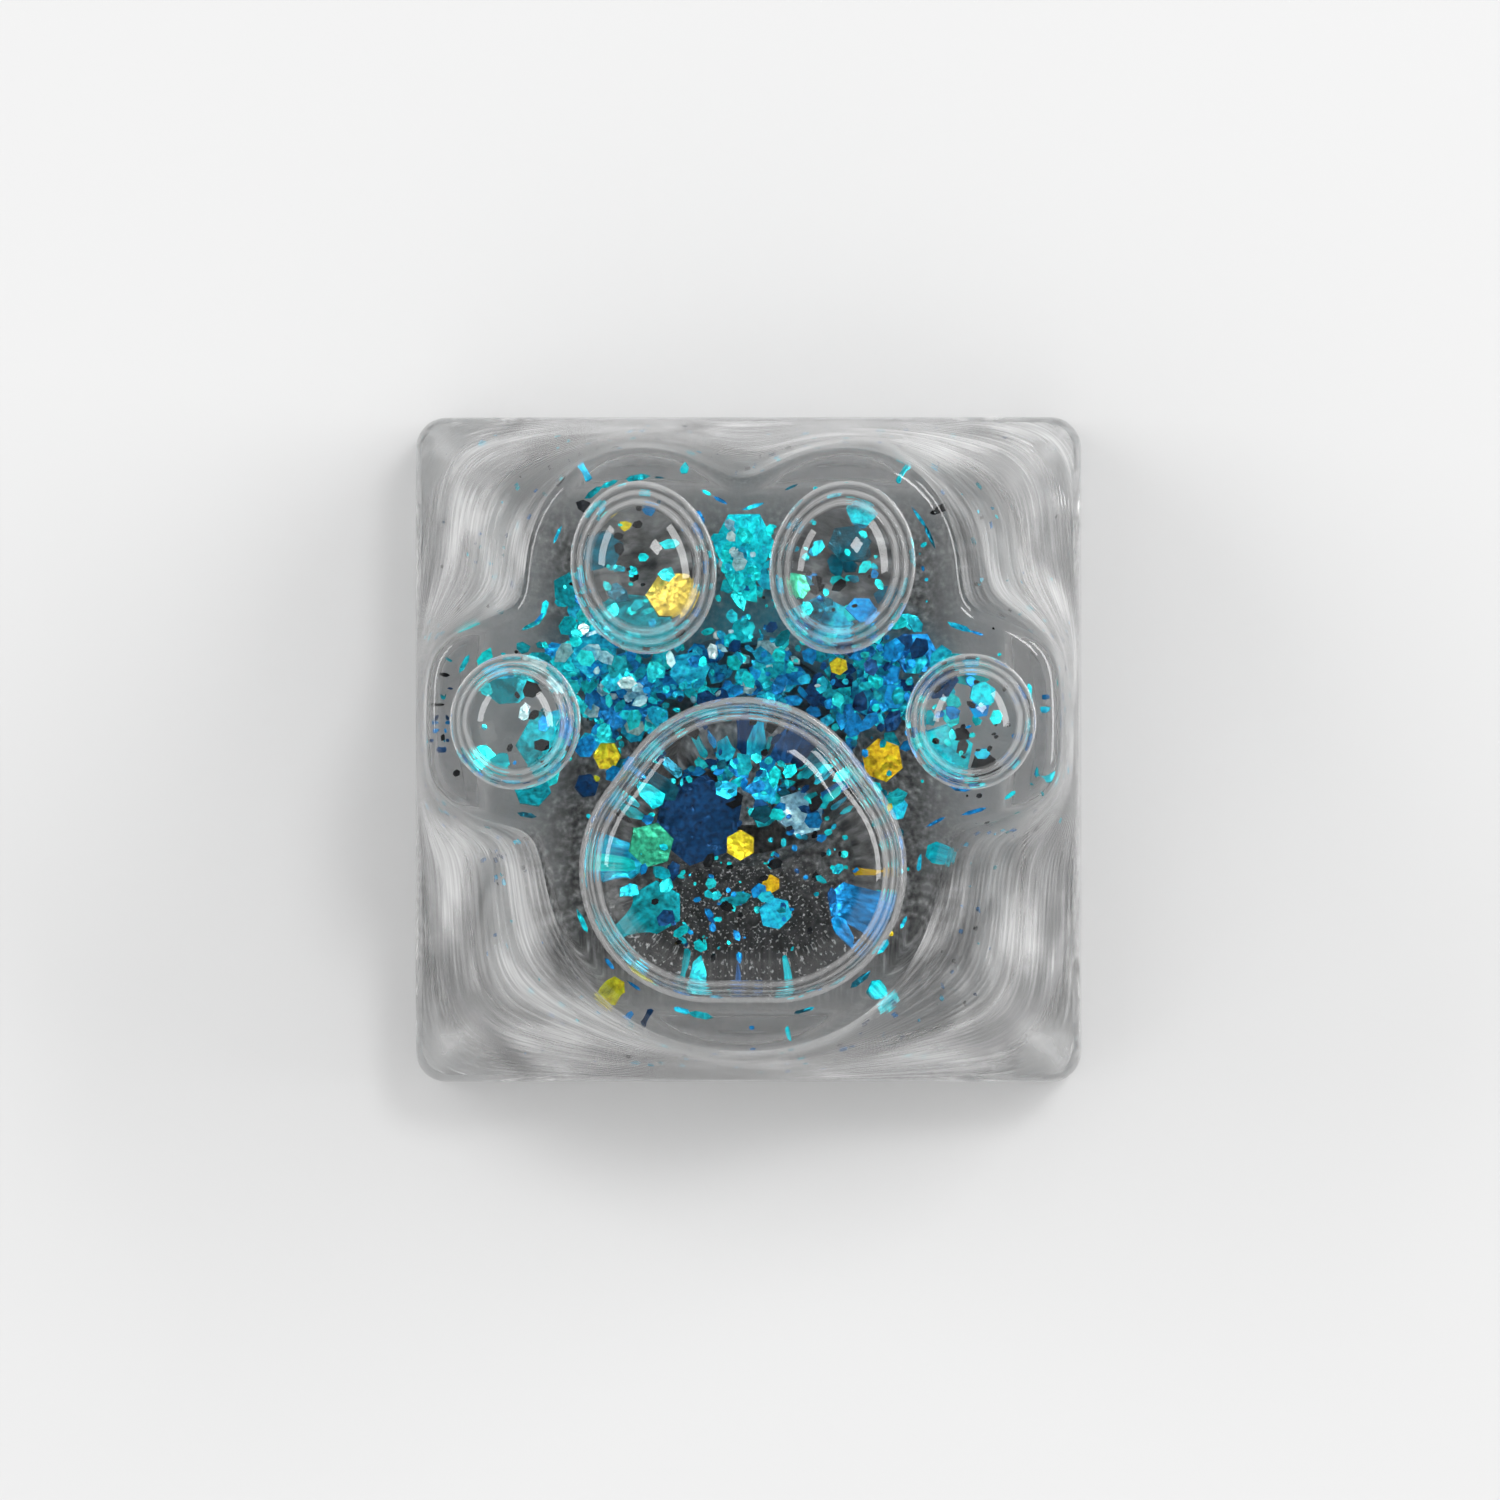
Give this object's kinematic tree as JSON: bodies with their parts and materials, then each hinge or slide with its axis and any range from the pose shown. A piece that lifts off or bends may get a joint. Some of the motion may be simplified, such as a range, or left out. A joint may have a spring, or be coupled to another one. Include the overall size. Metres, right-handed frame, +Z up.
{
  "type": "artisan keycap",
  "caption": "One-unit keycap cast in clear resin and sculpted as a cat's paw, with blue, teal and gold glitter set in it and a cross socket under it.",
  "frame": {"origin": "middle of the rim's square, on the plane that the rim rests on", "axes": "+Z up out of the keyboard, +Y towards the back of the keyboard, where the two upper toes are, +X to the right"},
  "size_m": [0.018, 0.018, 0.0092],
  "materials": {
    "clear_resin": "clear, polished on the pads, fine layer lines on the flanks",
    "blue_glitter": "metallised film",
    "teal_glitter": "metallised film",
    "gold_glitter": "metallised film"
  },
  "bodies": {
    "root": {"keycap": "clear_resin", "blue_flakes": "blue_glitter", "teal_flakes": "teal_glitter", "gold_flakes": "gold_glitter"}
  },
  "joints": []
}
